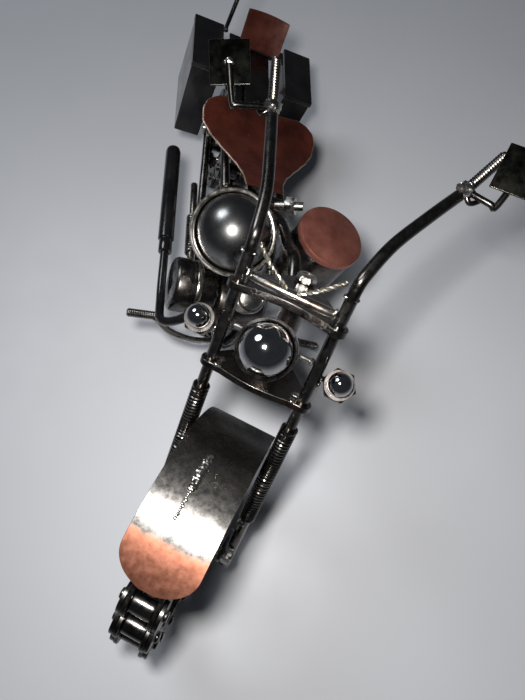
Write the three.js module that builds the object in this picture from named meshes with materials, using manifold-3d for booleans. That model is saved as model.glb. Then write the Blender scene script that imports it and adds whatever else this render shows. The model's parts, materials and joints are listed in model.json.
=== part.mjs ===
// Scrap-metal touring motorcycle figure, welded from roller chain, nuts, bolts, balls and sheet.
// Millimetres, +Z up. The machine faces -Y, its left side is +X. It leans to its left on a side
// stand, with the bars turned to its right, and its two wheels and the stand foot touch Z = 0.
import * as THREE from 'three';
import { mergeVertices } from 'three/addons/utils/BufferGeometryUtils.js';
import Module from 'manifold-3d';

const wasm = await Module();
wasm.setup();

// ---- driving dimensions ----
const GAP = 0.3;                 // clearance between touching pieces
const LEAN = 24.6;               // deg, frame towards its left
const TURN = 32.1;               // deg, steering towards the right
const RAKE = 33.3;               // deg, head axis back from vertical
const PITCH = 12.7;              // roller chain pitch
const PLATE_H = 12.0;            // link plate height
const PLATE_T = 1.5;             // link plate thickness
const ROLLER_R = 4.0;            // roller radius
const CHAIN_HALF = 8.5;          // half the pin length
const FRONT_LINKS = 18;
const REAR_LINKS = 12;
const LEG_X = 16.6;              // fork leg offset from the centre plane
const LEG_R = 1.95;
const LEG_E = -8.1;              // legs behind the wheel centre, across the rake
const STEM_E = -29.9;            // head axis behind the wheel centre, across the rake
const SPRING_R = 3.05;
const FENDER_HALF = 13.2;
const SHEET_T = 1.0;
const BALL_R = 14.8;             // tank ball
const DRUM_R = 13.2;             // tank drum
const REAR_Y = 214;              // rear wheel centre
const SIDES = [['left', 1], ['right', -1]];

const rad = (d) => d * Math.PI / 180;
const V = (x, y, z) => new THREE.Vector3(x, y, z);
const pitchRadius = (n) => PITCH / 2 / Math.sin(Math.PI / n);
const FRONT_R = pitchRadius(FRONT_LINKS) + PLATE_H / 2;
const REAR_R = pitchRadius(REAR_LINKS) + PLATE_H / 2;
const FENDER_R = FRONT_R + 2.9;  // inside radius of the front fender

// ---- solids ----
function clean(g) {
  const c = g.clone();
  for (const name of Object.keys(c.attributes)) {
    if (name !== 'position') c.deleteAttribute(name);
  }
  return mergeVertices(c, 1e-4);
}
function solid(g) {
  const c = clean(g);
  const mesh = new wasm.Mesh({
    numProp: 3,
    vertProperties: new Float32Array(c.attributes.position.array),
    triVerts: new Uint32Array(c.index.array),
  });
  return new wasm.Manifold(mesh);
}
function geometry(m) {
  const mesh = m.getMesh();
  const g = new THREE.BufferGeometry();
  g.setAttribute('position', new THREE.BufferAttribute(new Float32Array(mesh.vertProperties), 3));
  g.setIndex(new THREE.BufferAttribute(new Uint32Array(mesh.triVerts), 1));
  return g;
}
function join(list) {
  return list.map(solid).reduce((a, b) => a.add(b));
}
function carve(body, tools) {
  return tools.map(solid).reduce((a, b) => a.subtract(b), body);
}
function place(g, origin, axis, spin = 0) {
  const q = new THREE.Quaternion().setFromUnitVectors(V(0, 1, 0), axis.clone().normalize());
  if (spin) g.rotateY(spin);
  g.applyQuaternion(q);
  g.translate(origin.x, origin.y, origin.z);
  return g;
}
function rod(p, q, r, seg = 14, spin = 0, r2 = r) {
  const d = q.clone().sub(p);
  const g = new THREE.CylinderGeometry(r2, r, d.length(), seg, 1);
  return place(g, p.clone().add(q).multiplyScalar(0.5), d, spin);
}
function turned(profile, origin, axis, seg = 24) {
  const pts = profile.map(([r, y]) => new THREE.Vector2(r, y));
  return place(new THREE.LatheGeometry(pts, seg), origin, axis);
}
function ball(c, r, w = 24, h = 14) {
  return new THREE.SphereGeometry(r, w, h).translate(c.x, c.y, c.z);
}
function pipe(points, r, steps = 16, seg = 10) {
  const circle = new THREE.Shape();
  circle.absarc(0, 0, r, 0, Math.PI * 2);
  const path = new THREE.CatmullRomCurve3(points, false, 'centripetal');
  return new THREE.ExtrudeGeometry(circle, {
    steps, curveSegments: seg / 2, bevelEnabled: false, extrudePath: path,
  });
}
function block(cx, cy, cz, sx, sy, sz) {
  return new THREE.BoxGeometry(sx, sy, sz).translate(cx, cy, cz);
}
// closed slab over the patch at(u, v), u and v from 0 to 1, with thickness t along out(u, v)
function slab(at, out, t, nu, nv) {
  const pos = [];
  const index = [];
  const id = (k, i, j) => (k * (nu + 1) + i) * (nv + 1) + j;
  for (let k = 0; k < 2; k++) {
    for (let i = 0; i <= nu; i++) {
      for (let j = 0; j <= nv; j++) {
        const p = at(i / nu, j / nv).addScaledVector(out(i / nu, j / nv), k * t);
        pos.push(p.x, p.y, p.z);
      }
    }
  }
  const quad = (a, b, c, d) => index.push(a, b, c, a, c, d);
  for (let i = 0; i < nu; i++) {
    for (let j = 0; j < nv; j++) {
      quad(id(0, i, j), id(0, i, j + 1), id(0, i + 1, j + 1), id(0, i + 1, j));
      quad(id(1, i, j), id(1, i + 1, j), id(1, i + 1, j + 1), id(1, i, j + 1));
    }
    quad(id(0, i, 0), id(0, i + 1, 0), id(1, i + 1, 0), id(1, i, 0));
    quad(id(0, i, nv), id(1, i, nv), id(1, i + 1, nv), id(0, i + 1, nv));
  }
  for (let j = 0; j < nv; j++) {
    quad(id(0, 0, j), id(1, 0, j), id(1, 0, j + 1), id(0, 0, j + 1));
    quad(id(0, nu, j), id(0, nu, j + 1), id(1, nu, j + 1), id(1, nu, j));
  }
  const g = new THREE.BufferGeometry();
  g.setAttribute('position', new THREE.Float32BufferAttribute(pos, 3));
  g.setIndex(index);
  return g;
}
// makes a slab's faces point away from its inside, whichever way u and v run
function outward(g) {
  const p = g.attributes.position;
  const index = g.index.array;
  const at = (i) => V(p.getX(i), p.getY(i), p.getZ(i));
  let volume = 0;
  for (let i = 0; i < index.length; i += 3) {
    volume += at(index[i]).dot(at(index[i + 1]).cross(at(index[i + 2])));
  }
  for (let i = 0; volume < 0 && i < index.length; i += 3) {
    const keep = index[i];
    index[i] = index[i + 1];
    index[i + 1] = keep;
  }
  return solid(g);
}

// ---- materials ----
const LOOKS = {
  steel: [0x3b3937, 0.28, 1.0],
  bright: [0x9a948c, 0.25, 1.0],
  ballsteel: [0x8b8b90, 0.08, 1.0],
  copper: [0x8e4f3c, 0.3, 0.9],
  lacquer: [0x5d2a1c, 0.25, 0.6],
  black: [0x0b0b0d, 0.12, 0.3],
  wire: [0xa59d8c, 0.35, 1.0],
};

const group = new THREE.Group();
group.name = 'scrap_metal_motorcycle';

function put(name, look, body, matrix) {
  const g = geometry(body);
  g.applyMatrix4(matrix);
  const [color, roughness, metalness] = LOOKS[look];
  const mesh = new THREE.Mesh(g, new THREE.MeshStandardMaterial({ color, roughness, metalness }));
  mesh.name = name;
  group.add(mesh);
}

// ---- steering geometry: A runs up the rake, M points forward across it ----
const A = V(0, Math.sin(rad(RAKE)), Math.cos(rad(RAKE)));
const M = V(0, -Math.cos(rad(RAKE)), Math.sin(rad(RAKE)));
const WHEEL = V(0, 0, FRONT_R);
const fork = (x, s, e = LEG_E) => WHEEL.clone().addScaledVector(A, s).addScaledVector(M, e).add(V(x, 0, 0));
const HEAD = fork(0, 0, STEM_E);
const HUB = V(0, REAR_Y, REAR_R);

// ---- roller chain wheel about centre c, axis X ----
function link(c, n, k, x0, x1, grow) {
  const mid = ((k + 0.5) / n) * Math.PI * 2;
  const h = PLATE_H / 2 + grow;
  const half = PITCH / 2;
  const s = new THREE.Shape();
  s.absarc(-half, 0, h, rad(58), rad(302), false);
  s.lineTo(0, -h * 0.72);
  s.absarc(half, 0, h, rad(238), rad(482), false);
  s.lineTo(0, h * 0.72);
  const g = new THREE.ExtrudeGeometry(s, { depth: x1 - x0, bevelEnabled: false, curveSegments: 2 });
  // shape x runs along the loop and shape y outward, so the depth runs along X
  const along = V(0, -Math.sin(mid), Math.cos(mid));
  const out = V(0, Math.cos(mid), Math.sin(mid));
  const depth = along.clone().cross(out);
  g.applyMatrix4(new THREE.Matrix4().makeBasis(along, out, depth));
  const r = pitchRadius(n) * Math.cos(Math.PI / n);
  return g.translate(depth.x > 0 ? x0 : x1, c.y + out.y * r, c.z + out.z * r);
}
function chain(c, n) {
  const parts = [];
  const r = pitchRadius(n);
  for (let k = 0; k < n; k++) {
    const a = (k / n) * Math.PI * 2;
    const p = V(0, c.y + r * Math.cos(a), c.z + r * Math.sin(a));
    const inner = k % 2 === 0;
    const x0 = inner ? 4.1 : 4.1 + PLATE_T - 0.1;
    parts.push(rod(V(-CHAIN_HALF, p.y, p.z), V(CHAIN_HALF, p.y, p.z), 1.9, 6));
    parts.push(rod(V(-4.4, p.y, p.z), V(4.4, p.y, p.z), ROLLER_R, 8));
    parts.push(link(c, n, k, x0, x0 + PLATE_T, inner ? 0 : -0.3));
    parts.push(link(c, n, k, -x0 - PLATE_T, -x0, inner ? 0 : -0.3));
  }
  return join(parts);
}
const frontLoop = chain(WHEEL, FRONT_LINKS);
const rearLoop = chain(HUB, REAR_LINKS);

// ---- pose: leaning on the stand, with both wheels set down on the floor ----
const about = (p, turn) => new THREE.Matrix4().makeTranslation(p.x, p.y, p.z).multiply(turn)
  .multiply(new THREE.Matrix4().makeTranslation(-p.x, -p.y, -p.z));
const steer = about(HEAD, new THREE.Matrix4().makeRotationAxis(A, -rad(TURN)));
const rear = new THREE.Matrix4().makeRotationY(rad(LEAN));
const front = new THREE.Matrix4();
function lowest(matrix, loop) {
  const p = geometry(loop).attributes.position;
  let best = V(0, 0, Infinity);
  for (let i = 0; i < p.count; i++) {
    const q = V(p.getX(i), p.getY(i), p.getZ(i)).applyMatrix4(matrix);
    if (q.z < best.z) best = q;
  }
  return [best.y, best.z];
}
for (let i = 0; i < 4; i++) {
  front.multiplyMatrices(rear, steer);
  const [yf, zf] = lowest(front, frontLoop);
  const [yr, zr] = lowest(rear, rearLoop);
  const tilt = Math.atan2(zf - zr, yr - yf);
  rear.premultiply(new THREE.Matrix4().makeRotationX(tilt));
  const [, now] = lowest(rear, rearLoop);
  rear.premultiply(new THREE.Matrix4().makeTranslation(0, 0, -now));
}
front.multiplyMatrices(rear, steer);
const toFrame = rear.clone().invert();
const UP = V(0, 0, 1).transformDirection(toFrame);

function wheelHub(c, n, spokes, bore) {
  const reach = pitchRadius(n) - ROLLER_R - GAP;
  const parts = [rod(V(-7.5, c.y, c.z), V(7.5, c.y, c.z), 6.5, 16)];
  for (let k = 0; k < spokes; k++) {
    const a = (k / spokes) * Math.PI * 2;
    const q = V(0, c.y + reach * Math.cos(a), c.z + reach * Math.sin(a));
    parts.push(rod(V(0, c.y, c.z), q, 1.6, 6));
  }
  return carve(join(parts), [rod(V(-9, c.y, c.z), V(9, c.y, c.z), bore, 12)]);
}

// ---- front assembly, drawn straight ahead ----
const leg = (x, s0, s1, grow = 0) => rod(fork(x, s0), fork(x, s1), LEG_R + grow, 12);

for (const [side, d] of SIDES) {
  const x = d * LEG_X;
  const shin = join([leg(x, -14, 107.6), ball(fork(x, -14), LEG_R, 10, 6)]);
  put(`fork_leg_${side}`, 'steel', shin, front);
  const r0 = LEG_R + GAP;
  put(`fork_spring_${side}`, 'bright',
    solid(turned([[r0, 13], [SPRING_R, 13], [SPRING_R, 58], [r0, 58], [r0, 13]], fork(x, 0), A, 16)), front);
  const plate = join([
    rod(fork(d * 13.1, 0, 0), fork(d * 14.3, 0, 0), 4.2, 16),
    rod(fork(d * 13.1, 0), fork(d * 14.3, 0), 3.2, 16),
    block(0, 0, 0, 1.2, 8.1, 6).rotateX(rad(RAKE)).translate(d * 13.7, 0, 0)
      .translate(0, fork(0, 0, LEG_E / 2).y, fork(0, 0, LEG_E / 2).z),
  ]);
  put(`fork_dropout_${side}`, 'steel',
    carve(plate, [rod(fork(d * 12, 0, 0), fork(d * 16, 0, 0), 1.9, 14)]), front);
}
put('front_axle', 'bright', join([rod(fork(-18.6, 0, 0), fork(18.6, 0, 0), 1.6, 14),
  rod(fork(14.6, 0, 0), fork(17.6, 0, 0), 3.6, 6), rod(fork(-14.6, 0, 0), fork(-17.6, 0, 0), 3.6, 6)]), front);
put('front_wheel_chain', 'steel', frontLoop, front);
put('front_wheel_hub', 'bright', wheelHub(WHEEL, FRONT_LINKS, 6, 2.0), front);

// fender: an arc over the wheel, measured from straight ahead up over the top to the back
const FENDER_FROM = 57;
const FENDER_TO = 159;
const TIP_SPAN = 13;
const arcAt = (deg, r, x) => WHEEL.clone().add(V(x, -r * Math.cos(rad(deg)), r * Math.sin(rad(deg))));
const fenderDeg = (u) => FENDER_FROM + (FENDER_TO - FENDER_FROM) * u;
function fenderHalf(u) {
  const past = (fenderDeg(u) - FENDER_FROM) / TIP_SPAN;
  if (past >= 1) return FENDER_HALF;
  return FENDER_HALF * Math.max(0.2, Math.sqrt(1 - (1 - past) ** 2));
}
put('front_fender', 'steel', outward(slab(
  (u, v) => arcAt(fenderDeg(u), FENDER_R, (2 * v - 1) * fenderHalf(u)),
  (u) => arcAt(fenderDeg(u), 1, 0).sub(WHEEL),
  SHEET_T, 26, 2)), front);
const beadR = FENDER_R + SHEET_T + GAP + 0.75;
const bead = [82, 90, 98, 106, 114, 122, 127].map((d) => arcAt(d, beadR, 0));
put('fender_weld_bead', 'bright', solid(pipe(bead, 0.75, 14, 8)), front);

// yokes between the legs and the stem
const yokeHole = (x, s) => rod(fork(x, s - 4), fork(x, s + 4), LEG_R + GAP, 10);
const stemRod = (r, s0, s1) => rod(fork(0, s0, STEM_E), fork(0, s1, STEM_E), r, 12);
function yoke(s, t) {
  const arm = (x) => {
    const p = fork(x, s);
    const q = fork(0, s, STEM_E);
    const d = q.clone().sub(p);
    const g = new THREE.BoxGeometry(d.length(), t, 5.2);
    const m = new THREE.Matrix4().makeBasis(d.clone().normalize(), A, d.clone().normalize().cross(A));
    g.applyMatrix4(m);
    const c = p.clone().add(q).multiplyScalar(0.5);
    return g.translate(c.x, c.y, c.z);
  };
  return join([arm(LEG_X), arm(-LEG_X),
    rod(fork(0, s - t / 2, STEM_E), fork(0, s + t / 2, STEM_E), 4.6, 12),
    rod(fork(LEG_X, s - t / 2), fork(LEG_X, s + t / 2), 3.4, 10),
    rod(fork(-LEG_X, s - t / 2), fork(-LEG_X, s + t / 2), 3.4, 10),
    rod(fork(-LEG_X, s - 0.11), fork(LEG_X, s - 0.11), 0.88, 8)]);
}
for (const [name, s, t] of [['yoke_lower', 68, 2.4], ['yoke_upper', 97.3, 2.7]]) {
  put(name, 'steel', carve(yoke(s, t),
    [yokeHole(LEG_X, s), yokeHole(-LEG_X, s), stemRod(2.5, s - 4, s + 4)]), front);
}
put('steering_stem', 'bright', solid(stemRod(2.2, 63, 101)), front);
const between = LEG_X - LEG_R - GAP;
put('fork_cross_tube', 'bright', solid(rod(fork(-between, 101.3), fork(between, 101.3), 1.6, 14)), front);
put('fork_cross_rod', 'steel', solid(rod(fork(-between, 84), fork(between, 84), 0.95, 10)), front);

// headlight: ball in a stepped cup, facing up the fork's front
const LAMP = fork(0.4, 86.8, 2.6);
const LAMP_AXIS = M.clone().multiplyScalar(0.93).addScaledVector(A, 0.37).normalize();
const LAMP_R = 8.2;
put('headlight_ball', 'ballsteel', solid(ball(LAMP, LAMP_R, 18, 10)), front);
put('headlight_cup', 'steel', carve(solid(turned(
  [[0, -9.6], [3.2, -9.6], [3.2, -8.6], [6.6, -8.2], [7.2, -6.2], [8.9, -5.4], [9.5, -3.4], [9.5, 0.2],
    [8.6, 0.6], [0, 0.6]], LAMP, LAMP_AXIS, 16)),
[ball(LAMP, LAMP_R + GAP, 14, 8), rod(fork(-20, 84), fork(20, 84), 1.3, 12)]), front);

// indicators: a hex nut welded beside each leg, with a ball set in it
for (const [side, d] of SIDES) {
  const c = fork(d * 24.7, 81, LEG_E + 0.4);
  const axis = M.clone().multiplyScalar(0.8).addScaledVector(A, 0.6).normalize();
  const hex = rod(c.clone().addScaledVector(axis, -4.6), c, 5.6, 6);
  put(`indicator_nut_${side}`, 'steel', carve(solid(hex),
    [rod(c.clone().addScaledVector(axis, -3.4), c.clone().addScaledVector(axis, 1), 3.4, 16)]), front);
  put(`indicator_ball_${side}`, 'ballsteel',
    solid(ball(c.clone().addScaledVector(axis, 2.35), 3.9, 14, 8)), front);
}

// handlebars, clamps with lever and mirror stem, grips and mirrors
for (const [side, d] of SIDES) {
  const x = d * LEG_X;
  const joint = V(d * 33, 113.7, 138);
  const start = fork(x, 108);
  const bar = pipe([start, fork(x, 111.5), fork(d * 17.2, 115.5, LEG_E - 1.5),
    V(d * 20.5, 84, 136.2), V(d * 26.5, 98.5, 137.6), V(d * 32, 111.3, 138)], 1.95, 12, 8);
  put(`handlebar_${side}`, 'steel', solid(bar), front);
  const along = V(d * 0.38, 0.87, 0.32).normalize();
  const knee = joint.clone().add(d > 0 ? V(10.5, -1.5, 1.2) : V(-12, -5.2, 1));
  const top = joint.clone().add(d > 0 ? V(11.7, 3, 11.7) : V(-17.2, 1.8, 9.2));
  const lever = joint.clone().addScaledVector(along, 6).add(V(d * 4.5, -3.2, -3));
  const control = join([
    ball(joint.clone().addScaledVector(along, 1.3), 3.1, 10, 6),
    pipe([joint.clone(), knee.clone().add(V(-d * 2, 0, 0)), knee, top], 1.05, 6, 6),
    pipe([joint.clone(), joint.clone().add(V(d * 3.2, -1.5, -1.6)), lever], 0.8, 5, 6),
  ]);
  const barTool = rod(V(d * 26.5, 98.5, 137.6), V(d * 32, 111.3, 138).add(V(d * 0.05, 0.15, 0.02)),
    1.95 + GAP, 16);
  const gripFrom = joint.clone().addScaledVector(along, 2.2);
  const gripTo = joint.clone().addScaledVector(along, 18.5);
  const mirrorN = V(d * -0.18, -0.62, 0.76).normalize();
  const face = new THREE.BoxGeometry(13, 1.1, 13.5);
  const edge = d > 0 ? V(1, 0, 0) : V(0.89, 0.43, 0.13);
  const basisX = edge.addScaledVector(mirrorN, -edge.dot(mirrorN)).normalize();
  face.applyMatrix4(new THREE.Matrix4().makeBasis(basisX, mirrorN, basisX.clone().cross(mirrorN)));
  const mc = top.clone().addScaledVector(mirrorN, 0.55 + GAP);
  face.translate(mc.x, mc.y, mc.z);
  const behind = new THREE.BoxGeometry(20, 8, 20);
  behind.applyMatrix4(new THREE.Matrix4().makeBasis(basisX, mirrorN, basisX.clone().cross(mirrorN)));
  const bc = top.clone().addScaledVector(mirrorN, 4);
  behind.translate(bc.x, bc.y, bc.z);
  put(`bar_control_${side}`, 'bright', carve(control,
    [barTool, rod(gripFrom.clone().addScaledVector(along, -0.3), gripTo, 1.8 + GAP, 16), behind]), front);
  put(`grip_bolt_${side}`, 'bright', solid(rod(gripFrom, gripTo, 1.8, 16)), front);
  put(`mirror_${side}`, 'steel', solid(face), front);
}

// twisted cables from each leg top to the middle of the cross tube
for (const [side, d] of SIDES) {
  const from = fork(d * 13.6, 113, LEG_E + 2.9);
  const mid = fork(d * 8, 108.4, LEG_E + 4.4);
  const to = fork(d * 1.9, 103.5, LEG_E + 2.6);
  put(`control_cable_${side}`, 'wire', solid(pipe([from, mid, to], 0.85, 12, 8)), front);
}

// ---- frame, drawn upright ----
const headTube = rod(fork(0, 70.6, STEM_E), fork(0, 94.4, STEM_E), 4.3, 18);
const rails = [headTube];
const spineFrom = fork(0, 84, STEM_E);
rails.push(pipe([spineFrom, V(0.5, 92, 100), V(2.7, 104, 92), V(2.7, 122, 84), V(0.5, 136, 71),
  V(0, 150, 62.5)], 2.4, 12, 8));
rails.push(pipe([fork(0, 75, STEM_E), V(0, 76, 80), V(0, 80, 55), V(0, 84, 34), V(0, 92, 20.5)], 2.2, 10, 8));
rails.push(rod(V(-13.5, 149, 62.5), V(13.5, 149, 62.5), 2.2, 12));
for (const d of [1, -1]) {
  rails.push(rod(V(d * 13.5, 149, 62.5), V(d * 13.5, 205, 58), 2.0, 8));
  rails.push(ball(V(d * 13.5, 149, 62.5), 2.2, 8, 6));
  rails.push(pipe([V(0, 92, 20.5), V(d * 8, 100, 19), V(d * 13.5, 116, 19.5), V(d * 13.5, 150, 22),
    V(d * 13.5, 190, 27.5), V(d * 13.5, REAR_Y + 3, REAR_R)], 2.0, 14, 8));
  rails.push(rod(V(d * 13.5, 152, 62), V(d * 13.5, 163, 23.5), 1.7, 8));
  rails.push(rod(V(d * 13.5, 196, 58.6), V(d * 13.5, REAR_Y, REAR_R), 1.7, 8));
  rails.push(rod(V(d * 11.6, REAR_Y, REAR_R), V(d * 15.6, REAR_Y, REAR_R), 4.0, 16));
}
rails.push(rod(V(-13.5, 130, 20.8), V(13.5, 130, 20.8), 1.8, 10));
rails.push(ball(V(0, 92, 20.5), 2.6, 10, 6));
const frameBody = carve(join(rails), [
  rod(fork(0, 60, STEM_E), fork(0, 105, STEM_E), 2.55, 16),
  rod(V(-20, REAR_Y, REAR_R), V(20, REAR_Y, REAR_R), 1.9, 14)]);
put('main_frame', 'steel', frameBody, rear);

put('rear_axle', 'bright', solid(rod(V(-16.9, REAR_Y, REAR_R), V(16.9, REAR_Y, REAR_R), 1.6, 12)), rear);
put('rear_wheel_chain', 'steel', rearLoop, rear);
put('rear_wheel_hub', 'bright', wheelHub(HUB, REAR_LINKS, 4, 2.0), rear);

// tank: a ball in a cup on the right, a capped drum on the left
const TANK = V(-15.6, 112.7, 80.7);
const spineTool = pipe([spineFrom, V(0.5, 92, 100), V(2.7, 104, 92), V(2.7, 122, 84), V(0.5, 136, 71),
  V(0, 150, 62.5)], 2.4 + GAP, 12, 8);
put('tank_ball', 'ballsteel', solid(ball(TANK, BALL_R, 20, 12)), rear);
put('tank_cup', 'bright', carve(solid(turned(
  [[0, -19], [7, -18.6], [12.6, -14.4], [16.2, -7.6], [17.3, -0.5], [17.3, 1.2], [15.4, 1.2], [0, 1.2]],
  TANK, V(0, 0.1, 1), 18)), [ball(TANK, BALL_R + 0.65, 18, 12), spineTool]), rear);
const DRUM = V(19.4, 111, 72);
put('tank_drum', 'steel', carve(solid(turned(
  [[0, -9], [8, -8], [12, -4], [DRUM_R, 1], [DRUM_R, 21], [0, 21]], DRUM, V(0, 0, 1), 28)),
[spineTool]), rear);
put('tank_cap', 'copper', solid(turned(
  [[0, 21.3], [13.3, 21.3], [13.7, 21.8], [13.7, 23.4], [13.1, 24.1], [0, 24.3]], DRUM, V(0, 0, 1), 32)), rear);

// seat, back rest, rack and the bolt at the seat nose
const SEAT = [[143, 8.6], [149, 9.2], [155, 11.5], [161, 15.5], [167, 20], [173, 24.2], [179, 27.2],
  [185, 27.8], [189, 26.6], [192, 23.2], [193.6, 18]];
function seatHalf(y) {
  for (let i = 1; i < SEAT.length; i++) {
    if (y <= SEAT[i][0]) {
      const f = (y - SEAT[i - 1][0]) / (SEAT[i][0] - SEAT[i - 1][0]);
      return SEAT[i - 1][1] + f * (SEAT[i][1] - SEAT[i - 1][1]);
    }
  }
  return SEAT[SEAT.length - 1][1];
}
const seatY = (u) => 143 + 50.6 * u;
const seatZ = (u, v) => 75 - 7.6 * Math.sin(Math.min(1, u * 1.25) * Math.PI / 2)
  + 4.2 * Math.max(0, u - 0.72) / 0.28 + 1.6 * (2 * v - 1) ** 2 * u;
put('saddle', 'lacquer', outward(slab(
  (u, v) => V((2 * v - 1) * seatHalf(seatY(u)), seatY(u), seatZ(u, v)),
  () => V(0, 0, 1), 1.4, 18, 4)), rear);
put('seat_bolt', 'bright', join([
  rod(V(8.2, 134, 79), V(14.6, 132.5, 83.5), 4.1, 6), rod(V(4.4, 135, 76.3), V(8.4, 134, 79.1), 2.1, 12)]), rear);
const backAt = (u, v) => V((2 * v - 1) * 10.9, 236.5 + 7.5 * u + 1.5 * (1 - (2 * v - 1) ** 2), 67.2 + 15.5 * u);
put('back_rest', 'lacquer', outward(slab(backAt, () => V(0, -1, 0.4).normalize(), 1.3, 6, 6)), rear);
put('rack', 'steel', join([block(0, 218, 66.1, 13, 38, 1.2),
  block(0, 240.2, 66.1, 30, 8, 1.2)]), rear);

// rear fender under the rack
const rearAt = (deg, r, x) => HUB.clone().add(V(x, -r * Math.cos(rad(deg)), r * Math.sin(rad(deg))));
put('rear_fender', 'steel', outward(slab(
  (u, v) => rearAt(32 + 128 * u, REAR_R + 2.4, (2 * v - 1) * 10.6),
  (u) => rearAt(32 + 128 * u, 1, 0).sub(HUB), SHEET_T, 20, 1)), rear);

// side boxes: tapered to the bottom, with a lid
for (const [side, d] of SIDES) {
  const corner = (x, y, z) => V(d * x, y, z);
  const box = new THREE.BoxGeometry(1, 1, 1);
  const p = box.attributes.position;
  for (let i = 0; i < p.count; i++) {
    const top = p.getZ(i) > 0;
    const out = p.getX(i) > 0;
    const back = p.getY(i) > 0;
    const x = out ? (top ? 32.2 : 30.6) : 17.4;
    const y = back ? 252 : (top ? 219 : 213);
    const z = top ? 61 : 24;
    const w = corner(x, y, z);
    p.setXYZ(i, w.x, w.y, w.z);
  }
  const lid = block(d * 24.9, 235.4, 62.6, 15.6, 34.4, 2.6);
  put(`side_box_${side}`, 'black', outward(clean(box)), rear);
  put(`side_box_lid_${side}`, 'black', solid(lid), rear);
}
put('antenna', 'steel', join([rod(V(-15, 256, 58), V(-15, 256, 104), 1.1, 10),
  ball(V(-15, 256, 104), 1.5, 12, 8), rod(V(-15, 256, 61), V(-15, 252.4, 61), 0.9, 8)]), rear);

// engine: a round case, a side drum, two finned cylinders and one exhaust on the right
const CASE = V(0, 106, 40);
put('engine_case', 'steel', solid(turned(
  [[0, -12.6], [10, -12.6], [13.2, -10], [13.2, 10], [10, 12.6], [0, 12.6]], CASE, V(1, 0, 0), 26)), rear);
put('side_drum', 'steel', carve(solid(turned(
  [[0, 13], [11.2, 13], [11.9, 14], [11.9, 29.6], [11, 31], [0, 31]],
  V(0, 105, 46), V(-1, 0, 0), 26)), [rod(V(-29, 105, 46), V(-33, 105, 46), 2.3, 14)]), rear);
for (const [name, lean] of [['cylinder_front', -24], ['cylinder_rear', 24]]) {
  const axis = V(0, Math.sin(rad(lean)), Math.cos(rad(lean)));
  const prof = [[0, 14.2]];
  for (let k = 0; k < 4; k++) {
    const y = 14.2 + k * 2.3;
    prof.push([6.4, y], [6.4, y + 1.2], [4.8, y + 1.2], [4.8, y + 2.3]);
  }
  prof.push([0, 23.4]);
  put(name, 'bright', carve(solid(turned(prof, CASE, axis, 12)), [
    rod(CASE.clone().add(V(0, lean > 0 ? -8 : 8, 10)), CASE.clone().add(V(0, lean > 0 ? -3 : 3, 30)), 0.2, 6),
  ]), rear);
}
const pipeRun = [V(-21, 91, 58), V(-27, 86, 52), V(-33.5, 88, 44), V(-33.8, 100, 40), V(-33.6, 118, 39.5),
  V(-33.4, 134, 39.4)];
put('exhaust', 'black', join([pipe(pipeRun, 1.9, 10, 8),
  rod(V(-33.4, 124, 39.4), V(-33.4, 131, 39.5), 3.0, 12),
  rod(V(-33.4, 130.4, 39.5), V(-33.4, 181, 40.5), 3.6, 14),
  ball(V(-33.4, 181, 40.5), 3.6, 14, 6)]), rear);

// foot bolts on bent brackets, shocks and the side stand
for (const [side, d] of SIDES) {
  put(`foot_bolt_${side}`, 'bright', join([
    rod(V(d * 33.6, 94.9, 33), V(d * 46.4, 94.2, 33), 2.0, 10),
    pipe([V(d * 34, 94.8, 33), V(d * 27, 90, 30.5), V(d * 15, 89.5, 26.5), V(d * 5.5, 92, 23.8)], 1.5, 7, 6),
  ]), rear);
  put(`rear_shock_${side}`, 'bright', join([
    rod(V(d * 20.5, 129, 36), V(d * 20.5, 150, 36), 3.1, 16),
    rod(V(d * 20.5, 150, 36), V(d * 20.5, 170, 35), 1.7, 12),
    rod(V(d * 20.5, 126, 36), V(d * 20.5, 129, 36), 1.6, 12),
  ]), rear);
}
const FOOT = V(49, 128, 0).applyMatrix4(toFrame);
put('side_stand', 'steel', join([
  pipe([V(17.4, 124.3, 22.3), V(21.4, 125, 23), FOOT.clone().add(V(-7, 0, 3.2)),
    FOOT.clone().addScaledVector(UP, 2.4)], 1.6, 9, 8),
  rod(FOOT.clone(), FOOT.clone().addScaledVector(UP, 1.8), 4.4, 16),
]), rear);

// ---- origin at the middle of the base ----
const extent = new THREE.Box3().setFromObject(group);
const middle = extent.getCenter(V(0, 0, 0));
for (const mesh of group.children) {
  mesh.geometry.translate(-middle.x, -middle.y, 0);
}

export default group;
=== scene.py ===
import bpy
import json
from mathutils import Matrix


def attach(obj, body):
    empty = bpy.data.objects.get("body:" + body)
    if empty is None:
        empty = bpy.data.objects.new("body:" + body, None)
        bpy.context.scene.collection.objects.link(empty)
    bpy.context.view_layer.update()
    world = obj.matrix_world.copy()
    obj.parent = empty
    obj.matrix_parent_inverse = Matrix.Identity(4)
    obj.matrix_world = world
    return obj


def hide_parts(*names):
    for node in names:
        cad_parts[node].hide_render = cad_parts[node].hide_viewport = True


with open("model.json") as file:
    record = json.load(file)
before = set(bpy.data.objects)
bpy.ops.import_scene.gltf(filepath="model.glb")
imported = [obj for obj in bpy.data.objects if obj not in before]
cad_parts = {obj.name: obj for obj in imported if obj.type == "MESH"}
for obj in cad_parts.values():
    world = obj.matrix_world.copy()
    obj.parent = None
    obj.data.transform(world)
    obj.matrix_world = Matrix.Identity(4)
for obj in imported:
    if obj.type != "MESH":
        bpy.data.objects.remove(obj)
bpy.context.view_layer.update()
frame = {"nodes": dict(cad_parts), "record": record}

import bpy
import json
import math
import random
from mathutils import Matrix, Vector

random.seed(7)
rad = math.radians
V = Vector

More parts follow.
